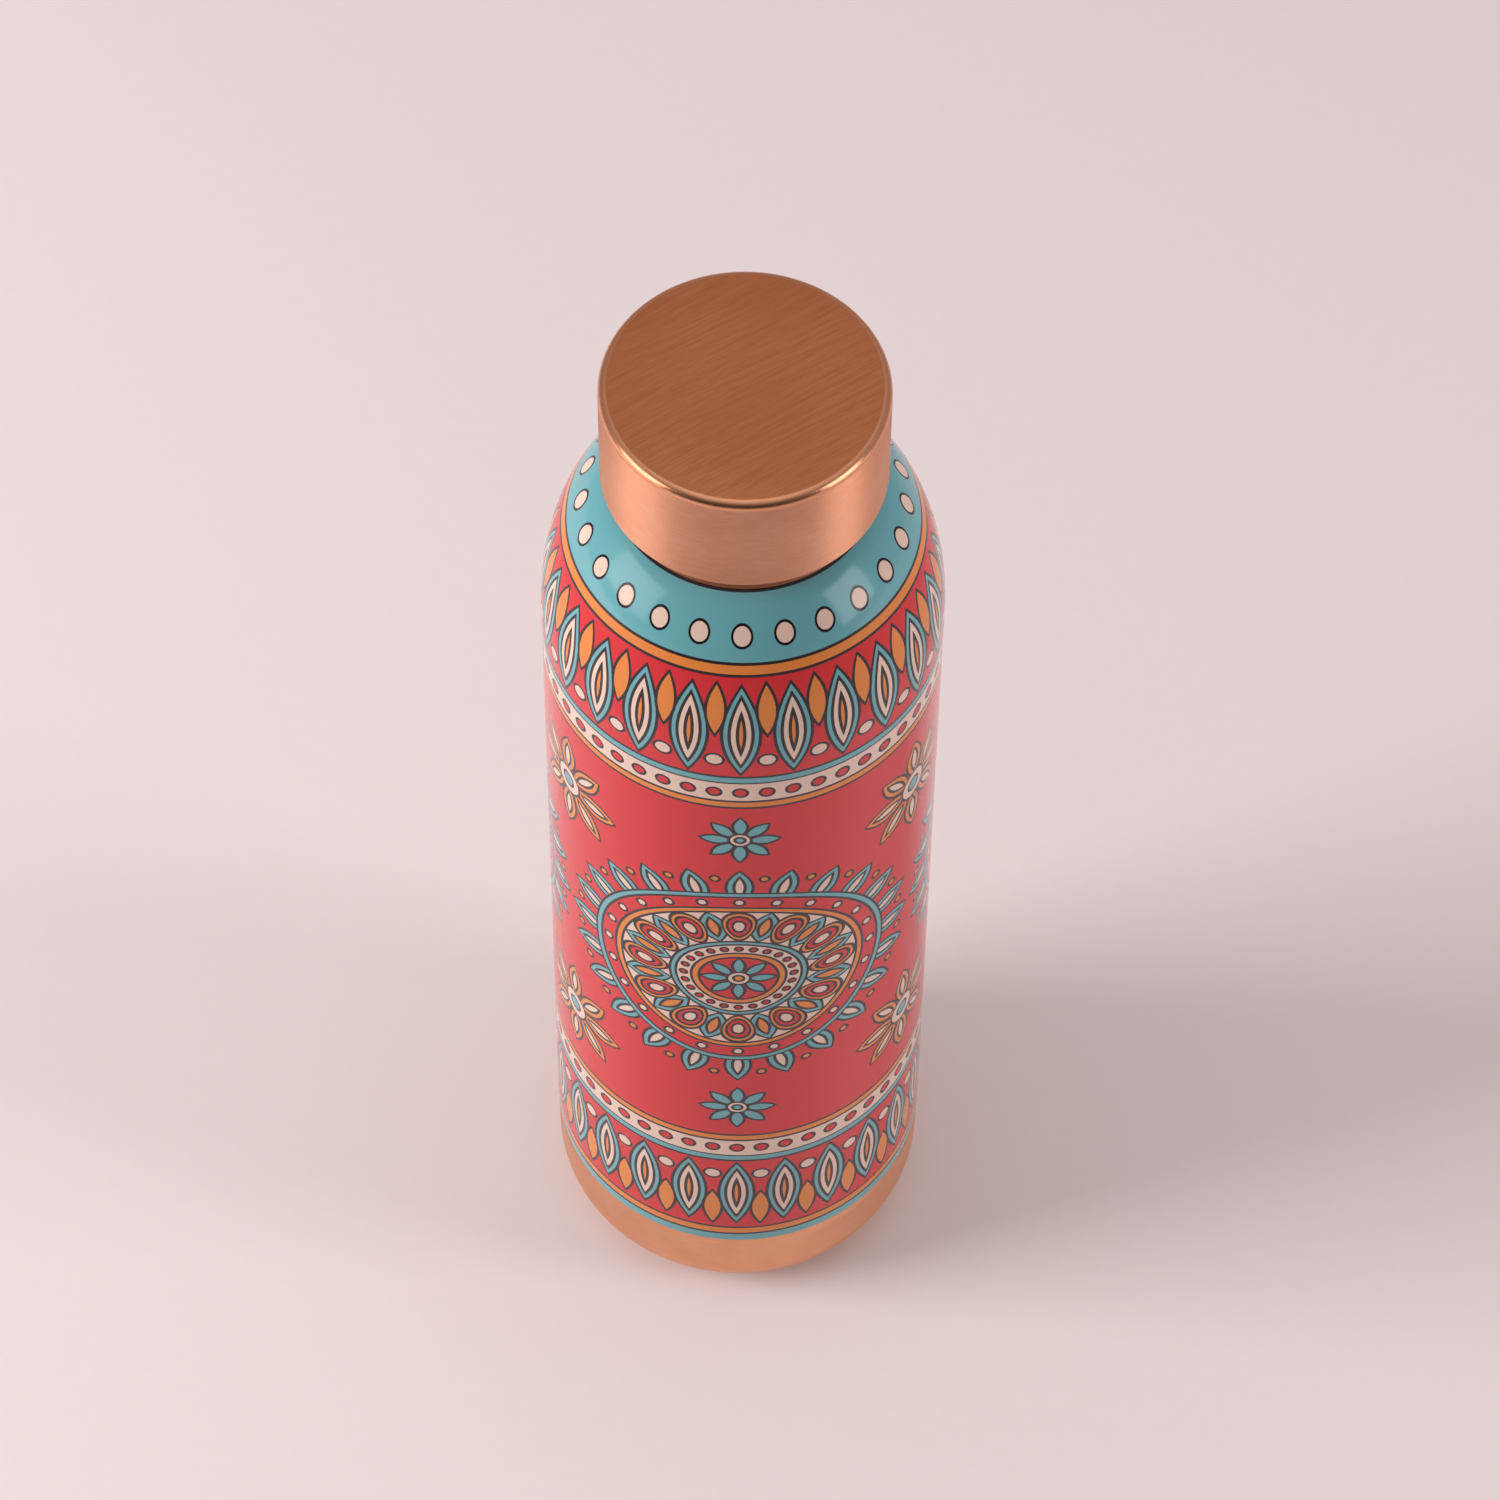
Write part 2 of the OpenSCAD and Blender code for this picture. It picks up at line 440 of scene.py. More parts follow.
    def petal_ring(self, paint: Paint, radius: Value, angle: Value) -> None:
        """Lays the round petals, the leaves behind them and the beaded ring outside."""
        inks, edge, middle = self.inks, self.flower_edge, 18.4
        rings = [(23.5, inks.cream), (25.0, inks.orange), (28.6, inks.red), (edge, inks.teal)]
        self.hoops(paint, radius, 10.0, rings, radius.below(edge + self.line / 2))
        across, along = self.sector(radius, angle, 2 * self.petals)
        self.nested(paint, self.circle(across, along, 26.8, 1.0), 1.0, [(0.0, inks.cream)])
        across, along = self.sector(radius, angle, self.petals, between=True)
        leaf = self.leaf(across, along, middle, 5.0, 2.6)
        self.nested(paint, leaf, 2.6, [(0.0, inks.teal), (1.3, inks.orange)])
        across, along = self.sector(radius, angle, self.petals)
        up = along - middle
        flank = across / (1.0 + up * 0.05)
        petal = ((flank * flank * 2.4 + up * up).math("SQRT") - 4.8) * 0.75
        self.nested(paint, petal, 3.6, [(0.0, inks.orange), (1.0, inks.red), (2.2, inks.cream)])

    def fringe(self, paint: Paint, radius: Value, angle: Value) -> None:
        """Lays the leaves that point out of the flower, with a dot between each two."""
        inks = self.inks
        across, along = self.sector(radius, angle, 2 * self.petals)
        leaf = self.leaf(across, along, 32.0, 5.6, 2.5)
        self.nested(paint, leaf, 2.5, [(0.0, inks.teal), (1.3, inks.cream)])
        across, along = self.sector(radius, angle, 2 * self.petals, between=True)
        self.nested(paint, self.circle(across, along, 35.0, 0.9), 0.9, [(0.0, inks.orange)])

    def rosette(self, paint: Paint, across: Value, up: Value, size: float,
                fills: Sequence[tuple[float, Rgb]]) -> None:
        """Lays an eight-petalled rosette.

        Args:
            paint: the layers to add to.
            across: distance from its centre round the bottle.
            up: distance from its centre up the bottle.
            size: its size, 1 for a radius of 13.6 mm.
            fills: (depth where the band starts, colour) of its petals, from the edge inwards.
        """
        radius = (across * across + up * up).math("SQRT")
        angle = paint.tree.math("ARCTAN2", across, up)
        side, along = self.sector(radius, angle, 8)
        leaf = self.leaf(side, along, 8.0 * size, 5.6 * size, 2.5 * size)
        self.nested(paint, leaf, 2.5 * size, fills)
        rings = [(1.7 * size, self.inks.teal), (3.7 * size, self.inks.cream)]
        self.hoops(paint, radius, -1.0, rings, radius.below(3.7 * size + self.line / 2))

    def border(self, paint: Paint, along: Value, up: Value) -> None:
        """Lays the border of dots and leaves, alike at the shoulder and at the foot."""
        inks, start = self.inks, self.border_start
        bands = [(2.0, inks.orange), (8.0, inks.cream), (10.0, inks.teal), (37.0, inks.red),
                 (39.5, inks.orange), (53.0, inks.teal)]
        past = up - start
        self.hoops(paint, past, 0.0, bands, past.above(-self.line / 2))
        pitch = self.girth / self.border_leaves
        across = abs(along.wrapped(pitch / 2))
        apart = pitch / 2 - across
        leaf = self.leaf(across, past, 23.0, 12.0, 3.5)
        self.nested(paint, leaf, 3.5, [(0.0, inks.teal), (1.2, inks.cream), (2.5, inks.orange)])
        self.nested(paint, self.circle(apart, past, 15.5, 1.7), 1.7, [(0.0, inks.cream)])
        self.nested(paint, self.leaf(apart, past, 29.0, 6.5, 1.9), 1.9, [(0.0, inks.orange)])
        self.nested(paint, self.circle(across, past, 45.0, 2.2), 2.2, [(0.0, inks.cream)])
        dots = abs(along.wrapped(pitch / 4))
        self.nested(paint, self.circle(dots, past, 5.0, 1.3), 1.3, [(0.0, inks.red)])


@dataclass(frozen=True)
class Copper:
    """Satin copper.

    Args:
        name: the material's name.
        colour: its colour where it is clean, in linear light.
        dark: its colour where it is tarnished.
        roughness: its middle roughness.
        grain: height of the brush lines, in metres.
        straight: angle of straight brush lines on a flat top, in radians, or None for lines round the axis.
        spread: how much wider its gloss is across the turned lines.
        cloud: how many clouds of tarnish there are in a metre.
    """

    name: str
    colour: Rgb = (0.80, 0.43, 0.29)
    dark: Rgb = (0.62, 0.29, 0.17)
    roughness: float = 0.3
    grain: float = 0.00001
    straight: float | None = None
    spread: float = 0.7
    cloud: float = 45.0

    def lines(self, tree: Tree) -> Value:
        """Brush lines, straight or round the axis."""
        place = tree.place()
        if self.straight is not None:
            across = tree.stretched(place, (220.0, 5200.0, 220.0), (0, 0, self.straight))
            fine = tree.noise(across, 1.0, 3.0, 0.7)
            broad = tree.noise(tree.stretched(across, (0.3, 0.25, 0.3)), 1.0, 3.0)
            return fine * 0.65 + broad * 0.35
        x, y, z = tree.parts(place)
        ring = tree.vector((x * x + y * y).math("SQRT"), z, tree.math("ARCTAN2", x, y) * 0.002)
        return tree.noise(ring, 5200.0, 2.0, 0.5)

    def build(self) -> bpy.types.Material:
        """Makes the copper's material."""
        tree = Tree(self.name)
        lines = self.lines(tree)
        tone = tree.noise(tree.place(), self.cloud, 3.0).share(0.35, 0.75)
        colour = tree.blend(self.colour, self.dark, tone * 0.4)
        turned = self.straight is None
        contrast = 0.3 if turned else 0.7
        colour = tree.blend(colour, self.dark, lines.share(0.42, 0.66) * contrast)
        rough = self.roughness + (lines - 0.5) * 0.2 + tone * 0.06
        return tree.finish({
            "Base Color": colour,
            "Metallic": 1.0,
            "Roughness": rough,
            "Anisotropic": self.spread if turned else 0.0,
            "Anisotropic Rotation": 0.25,
            "Normal": tree.bump(lines, self.grain),
        })


@dataclass(frozen=True)
class Filler:
    """Brazing filler: paler metal with a rippled skin."""

    colour: Rgb = (0.72, 0.45, 0.28)
    dark: Rgb = (0.45, 0.24, 0.13)

    def build(self) -> bpy.types.Material:
        """Makes the filler's material."""
        tree = Tree("filler")
        ripple = tree.noise(tree.place(), 1500.0, 2.0)
        colour = tree.blend(self.colour, self.dark, ripple.share(0.4, 0.8))
        return tree.finish({"Base Color": colour, "Metallic": 1.0, "Roughness": 0.3 + ripple * 0.2,
                            "Normal": tree.bump(ripple, 0.00005)})


@dataclass(frozen=True)
class Silicone:
    """Milky silicone rubber."""

    colour: Rgb = (0.78, 0.75, 0.69)
    dull: Rgb = (0.62, 0.58, 0.52)

    def build(self) -> bpy.types.Material:
        """Makes the rubber's material."""
        tree = Tree("silicone")
        bloom = tree.noise(tree.place(), 400.0, 3.0)
        colour = tree.blend(self.colour, self.dull, bloom.share(0.45, 0.8))
        return tree.finish({"Base Color": colour, "Roughness": 0.45 + bloom * 0.2,
                            "Subsurface Weight": 0.15, "Subsurface Scale": 0.002,
                            "Normal": tree.bump(bloom, 0.00002)})


@dataclass(frozen=True)
class StudioFloor:
    """Pale matt paper under the bottle."""

    colour: Rgb = (0.85, 0.755, 0.76)
    fleck: Rgb = (0.83, 0.735, 0.74)

    def build(self) -> bpy.types.Material:
        """Makes the floor's material."""
        tree = Tree("studio_floor")
        fibre = tree.noise(tree.place(), 300.0, 3.0)
        colour = tree.blend(self.colour, self.fleck, fibre)
        return tree.finish({"Base Color": colour, "Roughness": 0.8, "Specular IOR Level": 0.2})


# ---------------------------------------------------------------- shaping


def start_clean() -> None:
    """Leaves edit mode and deselects everything."""
    if bpy.context.object and bpy.context.object.mode != "OBJECT":
        bpy.ops.object.mode_set(mode="OBJECT")
    bpy.ops.object.select_all(action="DESELECT")


def draw_outline(name: str, outline: Outline, closed: bool) -> bpy.types.Object:
    """Draws an outline in the XZ plane by extruding a point, and stays in edit mode.

    Args:
        name: the new object's name.
        outline: (radius, height) points, in millimetres.
        closed: True to join the last point to the first.

    Returns:
        The object, active and in edit mode.
    """
    start_clean()
    bpy.ops.mesh.primitive_plane_add(size=1.0, location=(0, 0, 0))
    piece = bpy.context.object
    piece.name = name
    piece.data.name = name
    bpy.ops.object.mode_set(mode="EDIT")
    bpy.ops.mesh.select_all(action="SELECT")
    bpy.ops.mesh.merge(type="CENTER")
    here = (0.0, 0.0)
    points = outline + outline[:1] if closed else outline
    for number, (radius, height) in enumerate(points):
        step = ((radius - here[0]) * MM, 0.0, (height - here[1]) * MM)
        if number == 0:
            bpy.ops.transform.translate(value=step)
        else:
            bpy.ops.mesh.extrude_vertices_move(TRANSFORM_OT_translate={"value": step})
        here = (radius, height)
    bpy.ops.mesh.select_all(action="SELECT")
    bpy.ops.mesh.remove_doubles(threshold=0.00001)
    return piece


def turn_piece(name: str, outline: Outline, steps: int = 192) -> bpy.types.Object:
    """Turns a closed outline round the Z axis into a closed shell.

    Args:
        name: the new object's name.
        outline: (radius, height) points, in millimetres.
        steps: how many faces there are round the axis.

    Returns:
        The shell, shaded smooth where it isn't creased.
    """
    piece = draw_outline(name, outline, closed=outline[0][0] > 0 or outline[-1][0] > 0)
    bpy.ops.mesh.select_all(action="SELECT")
    bpy.ops.mesh.spin(steps=steps, angle=TURN, center=(0, 0, 0), axis=(0, 0, 1))
    settle(piece)
    return piece


def settle(piece: bpy.types.Object) -> None:
    """Merges doubles, turns faces outwards and shades smooth up to the crease angle."""
    bpy.ops.mesh.select_all(action="SELECT")
    bpy.ops.mesh.remove_doubles(threshold=0.000002)
    bpy.ops.mesh.normals_make_consistent(inside=False)
    bpy.ops.object.mode_set(mode="OBJECT")
    start_clean()
    piece.select_set(True)
    bpy.context.view_layer.objects.active = piece
    bpy.ops.object.shade_smooth_by_angle(angle=CREASE)


def apply_modifiers(piece: bpy.types.Object) -> None:
    """Applies every modifier on a piece, in order."""
    start_clean()
    piece.select_set(True)
    bpy.context.view_layer.objects.active = piece
    for modifier in list(piece.modifiers):
        bpy.ops.object.modifier_apply(modifier=modifier.name)


def arc(centre: tuple[float, float], size: float, start: float, end: float, steps: int = 8) -> Outline:
    """Points of an arc.

    Args:
        centre: its centre's radius and height, in millimetres.
        size: its radius, in millimetres.
        start: the angle it starts at, in degrees.
        end: the angle it ends at.
        steps: how many segments it has.

    Returns:
        Its points, from start to end.
    """
    angles = (math.radians(start + (end - start) * i / steps) for i in range(steps + 1))
    return [(centre[0] + size * math.cos(a), centre[1] + size * math.sin(a)) for a in angles]


def add_piece(piece: bpy.types.Object, body: Body, node: str, slot: Slot,
              material: bpy.types.Material) -> None:
    """Dresses a finished piece and ties it to the frame.

    Args:
        piece: the finished mesh.
        body: the body that it moves with.
        node: the frame's node that it stands for.
        slot: not used.
        material: its finish.
    """
    piece.data.materials.clear()
    piece.data.materials.append(material)
    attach(piece, body.value)
    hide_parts(node)
    LOG.info("%s: %d faces, for %s", piece.name, len(piece.data.polygons), node)


def reach_of(node: str) -> tuple[float, float, float]:
    """Outer radius, lowest and highest height of a node of the frame, in millimetres."""
    low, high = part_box(node)
    return high.x / MM, low.z / MM, high.z / MM


@dataclass
class Thread:
    """Right-handed trapezoid thread. Sizes are in millimetres.

    Args:
        root: radius of the wall that it stands on.
        start: height of its middle where it starts.
        turns: how many turns it has.
        side: 1 outside a wall, -1 inside it.
    """

    root: float
    start: float
    turns: float
    side: int
    pitch: float = 4.0
    height: float = 1.2
    sunk: float = 0.25
    base_width: float = 2.25
    crest_width: float = 0.8
    steps_per_turn: int = 72

    def build(self, name: str) -> bpy.types.Object:
        """Makes the thread as a closed rib whose ends sink into the wall.

        Args:
            name: the new object's name.

        Returns:
            The rib.
        """
        base, crest = self.root - self.side * self.sunk, self.root + self.side * self.height
        soft = 0.12
        outline = [(base, -self.base_width / 2), (crest - self.side * soft, -self.crest_width / 2 - soft),
                   (crest, -self.crest_width / 2 + soft), (crest, self.crest_width / 2 - soft),
                   (crest - self.side * soft, self.crest_width / 2 + soft), (base, self.base_width / 2)]
        rib = draw_outline(name, [(r, z + self.start) for r, z in outline], closed=True)
        bpy.ops.object.mode_set(mode="OBJECT")
        steps = round(self.turns * self.steps_per_turn)
        screw = rib.modifiers.new("thread", "SCREW")
        screw.axis = "Z"
        screw.angle = self.turns * TURN
        screw.screw_offset = self.turns * self.pitch * MM
        screw.steps = steps
        screw.render_steps = steps
        screw.use_merge_vertices = False
        apply_modifiers(rib)
        ring = len(outline)
        for vertex in rib.data.vertices:
            step = vertex.index // ring
            grown = min(1.0, step / (self.steps_per_turn / 6), (steps - step) / (self.steps_per_turn / 6))
            flat = Vector((vertex.co.x, vertex.co.y))
            radius = flat.length / MM
            out = (radius - base) * self.side
            flat *= (base + self.side * out * (0.1 + 0.9 * grown)) / radius
            vertex.co.x, vertex.co.y = flat
        bpy.ops.object.mode_set(mode="EDIT")
        bpy.ops.mesh.select_all(action="DESELECT")
        bpy.ops.mesh.select_non_manifold(extend=False, use_wire=False, use_multi_face=False,
                                         use_non_contiguous=False, use_verts=False)
        bpy.ops.mesh.fill_holes(sides=ring)
        settle(rib)
        return rib


def cut_thread(piece: bpy.types.Object, thread: Thread) -> None:
    """Joins a thread to the turned piece that carries it, as one closed shell."""
    rib = thread.build(piece.name + "_rib")
    union = piece.modifiers.new("thread", "BOOLEAN")
    union.operation = "UNION"
    union.solver = "EXACT"
    union.object = rib
    apply_modifiers(piece)
    bpy.data.objects.remove(rib)
    bpy.ops.object.mode_set(mode="EDIT")
    settle(piece)


# ---------------------------------------------------------------- sub-assemblies


@dataclass
class Shoulder:
    """Quarter-ellipse shoulder between the straight wall and the neck. Sizes are in millimetres."""

    wall_r: float
    neck_r: float = 18.0
    start_z: float = 198.0
    rise: float = 36.5

    def point(self, angle: float, out: float = 0.0) -> tuple[float, float]:
        """Point at an angle in degrees, moved out by a thickness.

        Args:
            angle: 0 at the straight wall and 90 at the neck.
            out: how far to move it outwards.

        Returns:
            Its radius and height.
        """
        wide = self.wall_r - self.neck_r
        a = math.radians(angle)
        normal = Vector((self.rise * math.cos(a), wide * math.sin(a))).normalized()
        return (self.neck_r + wide * math.cos(a) + out * normal.x,
                self.start_z + self.rise * math.sin(a) + out * normal.y)

    def outline(self, start: float, end: float, out: float = 0.0, steps: int = 48) -> Outline:
        """Points from one angle to another, moved out by a thickness."""
        return [self.point(start + (end - start) * i / steps, out) for i in range(steps + 1)]

    def way_up(self, height: float, out: float) -> float:
        """Distance up the surface to a height.

        Args:
            height: height above the floor.
            out: thickness of the skin that the distance is measured on.

        Returns:
            The distance, counted from the floor as if the base were straight too.
        """
        if height <= self.start_z:
            return height
        done, last = self.start_z, self.point(0.0, out)
        for step in range(1, 361):
            here = self.point(step / 4, out)
            if here[1] >= height:
                share = (height - last[1]) / (here[1] - last[1])
                return done + share * math.dist(here, last)
            done += math.dist(here, last)
            last = here
        return done


@dataclass
class BottleBody:
    """Everything that stays with the bottle: wall, base, neck and printed film."""

    sheet: float = 0.7
    corner_r: float = 13.0
    foot_width: float = 2.4
    recess: float = 3.8
    bead_start: float = 20.4
    bead_height: float = 0.13
    collar_r: float = 21.0
    collar_height: float = 3.0
    thread_root: float = 19.8
    thread_rise: float = 8.0
    film_end: float = 75.0
    braze_end: float = 78.0
    shoulder: Shoulder = field(init=False)

    def __post_init__(self) -> None:
        """Takes the wall's radius and the shoulder from the frame."""
        self.wall_r = reach_of("body_shell")[0]
        self.shoulder = Shoulder(self.wall_r)

    def build(self) -> None:
        """Makes every piece of the body."""
        copper = Copper("copper_body", roughness=0.35).build()
        base = Copper("copper_base", colour=(0.88, 0.45, 0.25), dark=(0.70, 0.33, 0.18),
                      roughness=0.34, grain=0.000005, spread=0.6, cloud=110.0).build()
        neck = Copper("copper_neck", colour=(0.84, 0.47, 0.31), roughness=0.25, grain=0.000004).build()
        filler = Filler().build()
        add_piece(self.wall(), Body.BOTTLE, "body_shell", Slot.COPPER_BODY, copper)
        add_piece(self.base(), Body.BOTTLE, "base_cup", Slot.COPPER_BASE, base)
        add_piece(self.base_seam(), Body.BOTTLE, "base_braze", Slot.FILLER, filler)
        add_piece(self.neck(), Body.BOTTLE, "neck_ring", Slot.COPPER_NECK, neck)
        add_piece(self.neck_seam(), Body.BOTTLE, "neck_braze", Slot.FILLER, filler)
        girth = TURN * reach_of("print_film")[0]
        add_piece(self.film(), Body.BOTTLE, "print_film", Slot.PRINTED_FILM, PrintedFilm(girth).build())

    def wall(self) -> bpy.types.Object:
        """Makes the drawn wall with its shoulder and spigot."""
        _, seam_z, spigot_top = reach_of("body_shell")
        shoulder, sheet = self.shoulder, self.sheet
        neck_r, top = shoulder.neck_r, shoulder.start_z + shoulder.rise
        outline = [(self.wall_r - sheet, seam_z), (self.wall_r, seam_z)]
        outline += shoulder.outline(0, 90)
        outline += [(neck_r, spigot_top - 0.2), (neck_r - 0.2, spigot_top),
                    (neck_r - sheet + 0.2, spigot_top), (neck_r - sheet, spigot_top - 0.2),
                    (neck_r - sheet, top - sheet)]
        outline += shoulder.outline(90, 0, -sheet)
        return turn_piece("bottle_wall", outline)

    def base(self) -> bpy.types.Object:
        """Makes the pressed base with its corner, standing ring, recess and rim."""
        radius, floor_z, rim_z = reach_of("base_cup")
        seam_z, sheet = reach_of("body_shell")[1], self.sheet
        foot_r = radius - self.corner_r
        dish_r = foot_r - self.foot_width
        corner = (foot_r, floor_z + self.corner_r)
        dome = [(dish_r * share, floor_z + self.recess * (1 - share ** 4) ** 0.5)
                for share in (0.98, 0.93, 0.85, 0.72, 0.5, 0.25, 0.0)]
        outline = arc(corner, self.corner_r, -90, 0, 24)
        for rise, share in ((0.0, 0.0), (0.4, 0.7), (0.8, 1.0), (2.0, 1.0), (2.4, 0.7), (2.8, 0.0)):
            outline.append((radius + share * self.bead_height, self.bead_start + rise))
        outline += [(radius, seam_z), (radius - sheet, seam_z), (radius - sheet, rim_z),
                    (radius - 2 * sheet, rim_z), (radius - 2 * sheet, seam_z - sheet / 2),
                    (radius - sheet, seam_z - 2 * sheet)]
        outline += arc(corner, self.corner_r - sheet, 0, -90, 24)
        outline += [(r - 0.2 if r > 1 else 0.0, z + sheet) for r, z in dome]
        outline += list(reversed(dome)) + [(dish_r, floor_z)]
        return turn_piece("bottle_base", outline)

    def base_seam(self) -> bpy.types.Object:
        """Makes the fillet of filler on the base's rim, inside."""
        radius, low, high = reach_of("base_braze")
        size = high - low
        hollow = arc((radius - size, high), size, 0, -90, 6)
        return turn_piece("base_solder", [(radius, low)] + hollow)

    def neck(self) -> bpy.types.Object:
        """Makes the neck ring with its collar, thread and rounded lip."""
        _, low, high = reach_of("neck_ring")
        bore, root, collar_r = self.shoulder.neck_r, self.thread_root, self.collar_r
        collar_top, lip = low + self.collar_height, 0.75
        outline = [(bore, low), (collar_r - 0.2, low), (collar_r, low + 0.2), (collar_r, collar_top - 0.4)]
        outline += arc((collar_r - 0.4, collar_top - 0.4), 0.4, 0, 90, 4)
        outline += [(root, collar_top + 0.5)]
        outline += arc((root - lip, high - lip), lip, 0, 90)
        outline += arc((bore + lip, high - lip), lip, 90, 180)
        ring = turn_piece("neck_thread_ring", outline)
        cut_thread(ring, Thread(root=root, start=low + self.thread_rise, turns=2.75, side=1))
        return ring

    def neck_seam(self) -> bpy.types.Object:
        """Makes the filler under the collar, with its fillet."""
        low = reach_of("neck_ring")[1]
        outline = self.shoulder.outline(self.braze_end, 90, 0.0, 6)
        return turn_piece("neck_solder", outline + [(self.collar_r, low), (self.collar_r, low + 0.75)])

    def film(self) -> bpy.types.Object:
        """Makes the printed film and lays its unrolled chart on it."""
        radius, low, _ = reach_of("print_film")
        thick = radius - self.wall_r
        outline = [(self.wall_r, low), (radius, low)]
        outline += self.shoulder.outline(0, self.film_end, thick, 60)
        outline += self.shoulder.outline(self.film_end, 0, 0.0, 60)
        film = turn_piece("printed_film", outline, 256)
        self.chart(film, radius, thick)
        return film

    def chart(self, film: bpy.types.Object, radius: float, thick: float) -> None:
        """Lays a map on the film whose units are millimetres round and up the wall.

        Args:
            film: the finished film.
            radius: its outer radius on the straight wall.
            thick: its thickness.
        """
        mesh = film.data
        chart = mesh.uv_layers.new(name="wrap")
        ways = {}
        for vertex in mesh.vertices:
            height = round(vertex.co.z / MM, 3)
            if height not in ways:
                ways[height] = self.shoulder.way_up(height, thick)
        for face in mesh.polygons:
            middle = math.atan2(face.center.x, -face.center.y)
            for loop in face.loop_indices:
                place = mesh.vertices[mesh.loops[loop].vertex_index].co
                angle = math.atan2(place.x, -place.y)
                angle += TURN * round((middle - angle) / TURN)
                chart.data[loop].uv = (radius * angle, ways[round(place.z / MM, 3)])


@dataclass
class ScrewCap:
    """Everything that turns with the cap, and the seal that rises with it."""

    sheet: float = 0.7
    edge_r: float = 1.6
    thread_root: float = 21.4
    thread_rise: float = 6.0
    sleeve_wall: float = 0.9
    flange: float = 1.0
    boss_r: float = 16.0
    disc_plate: float = 0.8

    def build(self) -> None:
        """Makes every piece of the cap and its seal."""
        side = Copper("copper_cap", colour=(0.84, 0.43, 0.27), dark=(0.72, 0.31, 0.17),
                      roughness=0.46, grain=0.000003, spread=0.88).build()
        # Painted shade: both colours of the flat top are darker than the skirt's copper, standing in for
        # the dim surroundings that it mirrors. Its straight brush lines and tarnish clouds are real.
        top = Copper("copper_cap_top_painted_shade", colour=(0.64, 0.235, 0.105), dark=(0.47, 0.155, 0.06),
                     roughness=0.34, grain=0.00002, straight=math.radians(-33)).build()
        edge = Copper("copper_cap_edge", colour=(0.78, 0.37, 0.21), dark=(0.60, 0.24, 0.12),
                      roughness=0.22, grain=0.000003, spread=0.3).build()
        inner = Copper("copper_sleeve", colour=(0.84, 0.47, 0.31), roughness=0.25, grain=0.000004).build()
        disc = Copper("copper_disc", colour=(0.80, 0.43, 0.29), roughness=0.22, grain=0.000005).build()
        filler = bpy.data.materials["filler"]
        cover = self.cover()
        add_piece(cover, Body.CAP, "cap_shell", Slot.COPPER_CAP, side)
        self.dress_top(cover, top, edge)
        add_piece(self.sleeve(), Body.CAP, "cap_thread_sleeve", Slot.COPPER_NECK, inner)
        add_piece(self.solder(), Body.CAP, "cap_braze", Slot.FILLER, filler)
        add_piece(self.disc(), Body.CAP_SEAL, "cap_disc", Slot.COPPER_DISC, disc)
        add_piece(self.seal(), Body.CAP_SEAL, "gasket", Slot.SILICONE, Silicone().build())

    def cover(self) -> bpy.types.Object:
        """Makes the drawn cap with its rounded edge and rolled rim."""
        radius, low, high = reach_of("cap_shell")
        sheet, edge = self.sheet, self.edge_r
        inner = edge - sheet
        outline = arc((radius - sheet / 2, low + sheet / 2), sheet / 2, -180, 0, 8)
        outline += arc((radius - edge, high - edge), edge, 0, 90, 12)
        outline += [(radius * 0.5, high), (0.0, high), (0.0, high - sheet)]
        outline += arc((radius - sheet - inner, high - sheet - inner), inner, 90, 0, 8)
        return turn_piece("cap_cover", outline, 256)

    def dress_top(self, cover: bpy.types.Object, top: bpy.types.Material, edge: bpy.types.Material) -> None:
        """Gives the cap's flat top, painted darker as painted shade, and its rounded edge their own
        finishes.
        """
        high = reach_of("cap_shell")[2]
        cover.data.materials.append(top)
        cover.data.materials.append(edge)
        for face in cover.data.polygons:
            drop = high - face.center.z / MM
            if face.normal.z > 0.995 and drop < 0.1:
                face.material_index = 1
            elif face.normal.z > 0.0 and drop < self.edge_r:
                face.material_index = 2

    def sleeve(self) -> bpy.types.Object:
        """Makes the flanged sleeve with the inside thread."""
        radius, low, high = reach_of("cap_thread_sleeve")
        root, flange, soft = self.thread_root, self.flange, 0.2
        wall = root + self.sleeve_wall
        outline = [(root + soft, low), (radius, low), (radius, low + flange), (wall, low + flange),
                   (wall, high - flange), (radius, high - flange), (radius, high), (root + soft, high),
                   (root, high - soft), (root, low + soft)]
        sleeve = turn_piece("cap_sleeve", outline)
        neck_low = reach_of("neck_ring")[1]
        cut_thread(sleeve, Thread(root=root, start=neck_low + self.thread_rise, turns=2.5, side=-1))
        return sleeve

    def solder(self) -> bpy.types.Object:
        """Makes the fillet of filler between the sleeve and the cap's skirt."""
        radius, low, high = reach_of("cap_braze")
        return turn_piece("cap_solder", [(radius - 0.6, high), (radius - 0.2, high - 0.15),
                                         (radius, low), (radius, high)])

    def disc(self) -> bpy.types.Object:
        """Makes the disc that closes the mouth, with the boss that holds the ring."""
        radius, low, high = reach_of("cap_disc")
        boss, plate, soft = self.boss_r, self.disc_plate, 0.3
        outline = [(0.0, low), (boss - soft, low), (boss, low + soft), (boss, high - plate),
                   (radius - soft, high - plate), (radius, high - plate + soft),
                   (radius, high), (0.0, high)]
        return turn_piece("sealing_disc", outline)

    def seal(self) -> bpy.types.Object:
        """Makes the silicone ring."""
        radius, low, high = reach_of("gasket")
        boss, soft = self.boss_r, 0.35
        outline = arc((radius - soft, low + soft), soft, -90, 0, 4)
        outline += arc((radius - soft, high - soft), soft, 0, 90, 4)
        outline += [(boss, high), (boss, low + soft), (boss + soft, low)]
        return turn_piece("sealing_ring", outline)


# ---------------------------------------------------------------- studio


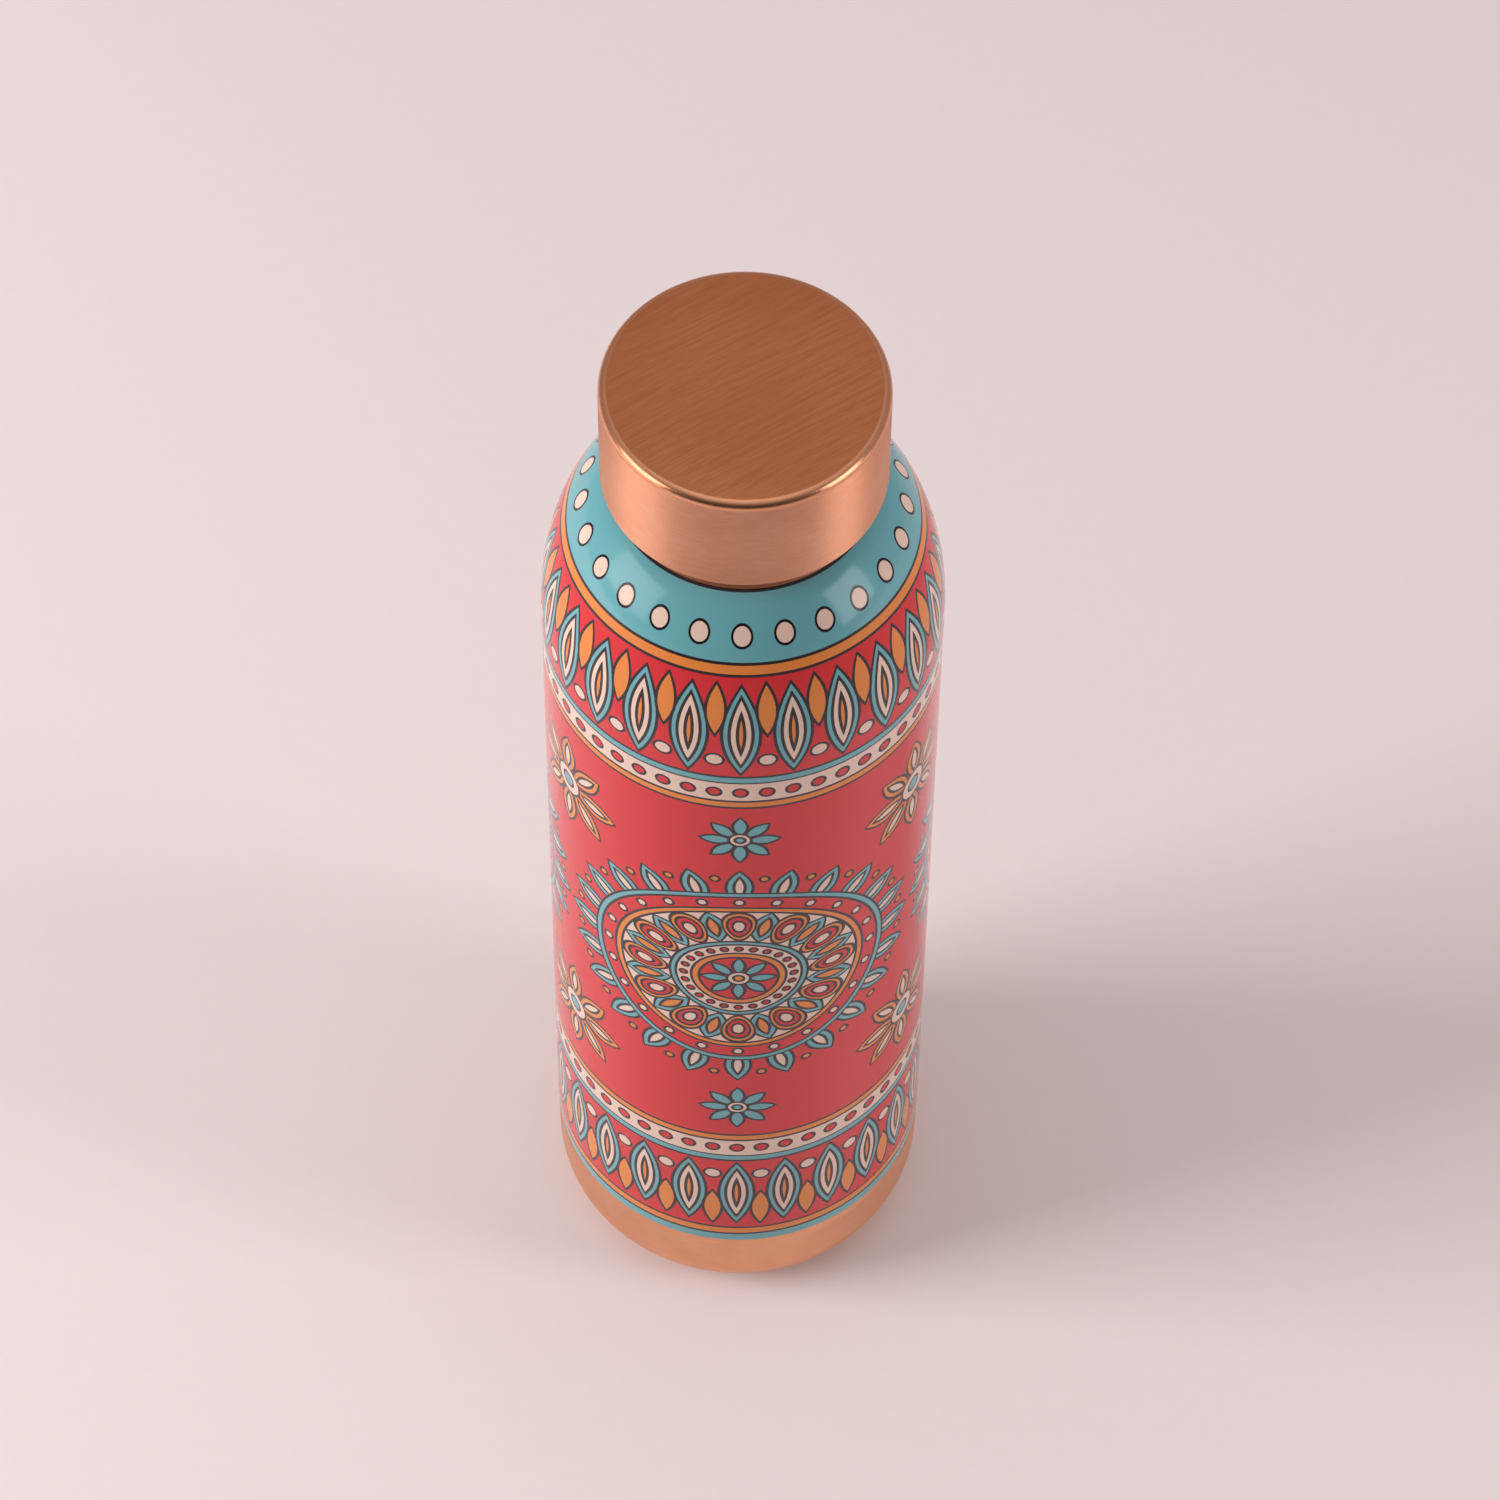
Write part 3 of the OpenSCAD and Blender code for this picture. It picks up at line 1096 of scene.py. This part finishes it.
@dataclass(frozen=True)
class SoftBox:
    """Rectangular soft light. Sizes are in metres and its power in watts.

    Args:
        name: its name.
        place: where it hangs.
        target: height on the bottle's axis that it points at.
        size: its width and height.
        power: its power.
        colour: its colour.
        lights: False to leave it out of matt light, so that only gloss shows it.
        mirrored: False to leave it out of reflections.
    """

    name: str
    place: Point
    target: float
    size: tuple[float, float]
    power: float
    colour: Rgb = (1.0, 0.96, 0.94)
    lights: bool = True
    mirrored: bool = True

    def build(self) -> None:
        """Adds the light."""
        data = bpy.data.lights.new(self.name, "AREA")
        data.shape = "RECTANGLE"
        data.size, data.size_y = self.size
        data.energy = self.power
        data.color = self.colour
        light = bpy.data.objects.new(self.name, data)
        aim = Vector((0, 0, self.target)) - Vector(self.place)
        turn = aim.to_track_quat("-Z", "Y").to_matrix().to_4x4()
        light.matrix_world = Matrix.Translation(self.place) @ turn
        light.visible_diffuse = self.lights
        light.visible_glossy = self.mirrored
        bpy.context.scene.collection.objects.link(light)


@dataclass(frozen=True)
class Studio:
    """Camera, floor, surroundings and soft lights. Sizes are in metres."""

    eye: Point = (0.0016, -0.6550, 1.1487)
    pitch: float = 56.811
    roll: float = 0.70
    lens: float = 153.3
    zenith: Rgb = (0.95, 0.92, 0.92)
    backdrop: Rgb = (0.84, 0.71, 0.72)

    def build(self) -> None:
        """Sets up the camera, the floor, the world and the lights."""
        self.camera()
        self.floor()
        self.world()
        lights = (
            SoftBox("left_window", (-1.28, -0.21, 0.64), 0.12, (0.64, 0.77), 18.5, (1.0, 0.97, 0.96),
                    mirrored=False),
            SoftBox("right_fill", (1.3, -0.3, 0.5), 0.15, (0.4, 0.8), 7.5, (1.0, 0.96, 0.95),
                    mirrored=False),
            SoftBox("left_card", (-1.15, -0.42, 0.6), 0.22, (0.75, 0.8), 5.6, lights=False),
            SoftBox("right_card", (1.15, -0.5, 0.55), 0.22, (0.55, 0.8), 4.6, lights=False),
        )
        for light in lights:
            light.build()

    def camera(self) -> None:
        """Adds the camera that looks down on the bottle."""
        data = bpy.data.cameras.new("camera")
        data.lens = self.lens
        camera = bpy.data.objects.new("camera", data)
        tilt = Matrix.Rotation(math.radians(90 - self.pitch), 4, "X")
        roll = Matrix.Rotation(math.radians(self.roll), 4, "Z")
        camera.matrix_world = Matrix.Translation(self.eye) @ tilt @ roll
        bpy.context.scene.collection.objects.link(camera)
        bpy.context.scene.camera = camera

    def floor(self) -> None:
        """Adds the plain floor."""
        start_clean()
        bpy.ops.mesh.primitive_plane_add(size=8.0, location=(0, 0, 0))
        floor = bpy.context.object
        floor.name = "studio_floor"
        floor.data.materials.append(StudioFloor().build())

    def world(self) -> None:
        """Sets soft surroundings, dimmer in front and brighter overhead, and a plain colour response."""
        tree = Tree("studio", world=True)
        _, back, up = tree.parts(tree.node("TexCoord").outputs["Generated"])
        stops = [(0.0, (0.06, 0.05, 0.05)), (0.35, (0.18, 0.16, 0.16)),
                 (0.55, (0.42, 0.39, 0.39)), (1.0, (0.40, 0.36, 0.35))]
        round_about = tree.node("ValToRGB", {"stops": stops}, {0: back * 0.5 + 0.5}).outputs[0]
        sky = tree.blend(round_about, self.zenith, up.math("POWER", 5.0, clamp=True))
        seen = Value(tree, tree.node("LightPath").outputs["Is Camera Ray"])
        background = tree.node("Background", None, {"Color": tree.blend(sky, self.backdrop, seen)})
        tree.node("OutputWorld", None, {"Surface": background.outputs[0]})
        bpy.context.scene.world = tree.owner
        bpy.context.scene.view_settings.view_transform = "Standard"


def main() -> None:
    """Builds the studio and the bottle."""
    Studio().build()
    BottleBody().build()
    ScrewCap().build()


if __name__ == "__main__":
    main()
